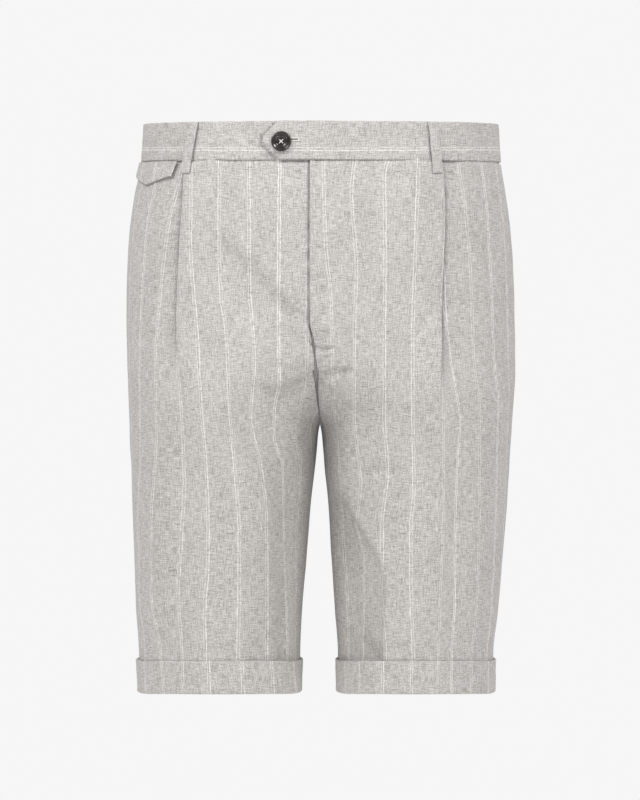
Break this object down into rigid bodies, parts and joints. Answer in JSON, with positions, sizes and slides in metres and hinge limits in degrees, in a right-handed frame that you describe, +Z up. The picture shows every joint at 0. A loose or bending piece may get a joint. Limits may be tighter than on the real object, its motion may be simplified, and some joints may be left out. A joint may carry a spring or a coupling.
{
  "type": "pleated bermuda shorts",
  "caption": "Knee-length tailored bermuda shorts standing open as worn: pleated fronts, waistband with buttoned tab, belt loops, coin pocket flap and turned-up hems.",
  "frame": {"origin": "middle of the waist opening, at half the waistband's height at the sides, where the wearer's waist holds the garment", "axes": "+Z up along the body, the front faces -Y, +X is the wearer's left"},
  "size_m": [0.3568, 0.265, 0.5252],
  "materials": {
    "striped_linen": "matte woven linen, light warm grey with double white pinstripes",
    "horn_button": "polished dark brown horn"
  },
  "bodies": {
    "root": {"front_right": "striped_linen", "front_left": "striped_linen", "back_right": "striped_linen", "back_left": "striped_linen", "waistband_right": "striped_linen", "waistband_left": "striped_linen", "cuff_right": "striped_linen", "cuff_left": "striped_linen", "belt_loop_front_right": "striped_linen", "belt_loop_front_left": "striped_linen", "belt_loop_back_right": "striped_linen", "belt_loop_back_left": "striped_linen", "belt_loop_centre_back": "striped_linen", "coin_pocket_flap": "striped_linen", "waist_button": "horn_button"}
  },
  "joints": []
}
